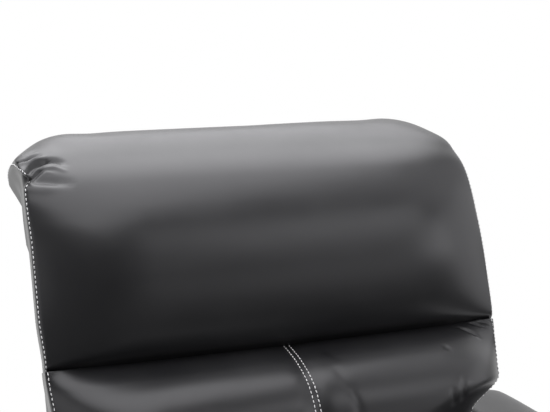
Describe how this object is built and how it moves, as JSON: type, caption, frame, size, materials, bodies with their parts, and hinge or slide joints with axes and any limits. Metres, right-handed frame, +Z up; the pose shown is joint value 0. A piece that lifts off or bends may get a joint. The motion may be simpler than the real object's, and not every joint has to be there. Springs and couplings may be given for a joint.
{
  "type": "recliner",
  "caption": "Upholstered recliner chair with a padded head pillow, a reclining back, a seat that swings forward and a lever-opened footrest on a folding linkage",
  "frame": {"origin": "centre of the footprint, on the floor", "axes": "+Z up, the sitter faces -Y, the sitter's left is +X"},
  "size_m": [0.8124, 0.966, 1.0678],
  "materials": {
    "leather": "smooth low-gloss black faux leather",
    "frame_wood": "raw plywood and softwood",
    "lever_wood": "dark stained and lacquered",
    "steel": "black stoved enamel on sheet steel",
    "plastic": "black moulded plastic",
    "webbing": "woven elastic webbing"
  },
  "bodies": {
    "base": {"left_arm_cover": "leather", "left_arm_frame": "frame_wood", "left_arm_pad": "leather", "left_base_rail": "steel", "right_arm_cover": "leather", "right_arm_frame": "frame_wood", "right_arm_pad": "leather", "right_base_rail": "steel", "front_left_foot": "plastic", "front_right_foot": "plastic", "rear_left_foot": "plastic", "rear_right_foot": "plastic", "front_stretcher": "frame_wood", "rear_base_panel": "leather", "front_cross_tube": "steel", "rear_cross_tube": "steel"},
    "front_swing_links": {"left_front_swing_link": "leather", "right_front_swing_link": "leather"},
    "rear_swing_links": {"left_rear_swing_link": "leather", "right_rear_swing_link": "leather"},
    "seat": {"left_seat_plate": "steel", "left_seat_board": "frame_wood", "right_seat_plate": "steel", "right_seat_board": "frame_wood", "front_seat_board": "frame_wood", "rear_seat_board": "frame_wood", "seat_cushion": "leather", "seat_spring_1": "steel", "seat_spring_2": "steel", "seat_spring_3": "steel", "seat_spring_4": "steel"},
    "back": {"left_back_post": "frame_wood", "left_back_wing": "leather", "left_back_bracket": "steel", "right_back_post": "frame_wood", "right_back_wing": "leather", "right_back_bracket": "steel", "bottom_back_rail": "frame_wood", "middle_back_rail": "frame_wood", "top_back_rail": "frame_wood", "back_webbing_1": "webbing", "back_webbing_2": "webbing", "back_webbing_3": "webbing", "rear_back_panel": "leather", "lumbar_cushion": "leather", "head_pillow": "leather"},
    "long_links": {"left_long_link": "steel", "right_long_link": "steel", "torque_tube": "steel", "hand_lever": "lever_wood"},
    "second_links": {"left_second_link": "steel", "right_second_link": "steel"},
    "ottoman_links": {"left_ottoman_link": "steel", "right_ottoman_link": "steel"},
    "control_links": {"left_control_link": "steel", "right_control_link": "steel"},
    "footrest": {"left_footrest_bracket": "steel", "right_footrest_bracket": "steel", "footrest_board": "frame_wood", "footrest_pad": "leather"}
  },
  "joints": [
    {"name": "back_recline", "type": "hinge", "parent": "seat", "child": "back", "pos_m": [0.00125, 0.20834, 0.385], "axis": [-1, 0, 0], "range_deg": [0, 40]},
    {"name": "front_swing", "type": "hinge", "parent": "base", "child": "front_swing_links", "pos_m": [0.00125, -0.10166, 0.2], "axis": [1, 0, 0], "range_deg": [0, 30]},
    {"name": "seat_swing", "type": "hinge", "parent": "front_swing_links", "child": "seat", "pos_m": [0.00125, -0.05166, 0.2866], "axis": [1, 0, 0], "range_deg": [-30, 0]},
    {"name": "rear_swing", "type": "hinge", "parent": "base", "child": "rear_swing_links", "pos_m": [0.00125, 0.16834, 0.2], "axis": [1, 0, 0], "range_deg": [0, 30]},
    {"name": "footrest_open", "type": "hinge", "parent": "seat", "child": "long_links", "pos_m": [0.00125, -0.24166, 0.325], "axis": [-1, 0, 0], "range_deg": [0, 100]},
    {"name": "second_link_swing", "type": "hinge", "parent": "seat", "child": "second_links", "pos_m": [0.00125, -0.15302, 0.30937], "axis": [-1, 0, 0], "range_deg": [0, 100]},
    {"name": "ottoman_link_swing", "type": "hinge", "parent": "long_links", "child": "ottoman_links", "pos_m": [0.00125, -0.10024, 0.15647], "axis": [-1, 0, 0], "range_deg": [-100, 0]},
    {"name": "control_link_swing", "type": "hinge", "parent": "long_links", "child": "control_links", "pos_m": [0.00125, -0.11808, 0.19002], "axis": [-1, 0, 0], "range_deg": [-100, 0]},
    {"name": "footrest_turn", "type": "hinge", "parent": "ottoman_links", "child": "footrest", "pos_m": [0.00125, -0.36666, 0.31], "axis": [-1, 0, 0], "range_deg": [0, 85]}
  ],
  "couplings": [
    {"joint": "front_swing", "follows": "back_recline", "ratio": 0.75},
    {"joint": "seat_swing", "follows": "back_recline", "ratio": -0.75},
    {"joint": "rear_swing", "follows": "back_recline", "ratio": 0.75},
    {"joint": "second_link_swing", "follows": "footrest_open", "ratio": 1},
    {"joint": "ottoman_link_swing", "follows": "footrest_open", "ratio": -1},
    {"joint": "control_link_swing", "follows": "footrest_open", "ratio": -0.9868},
    {"joint": "footrest_turn", "follows": "footrest_open", "ratio": 0.85}
  ]
}
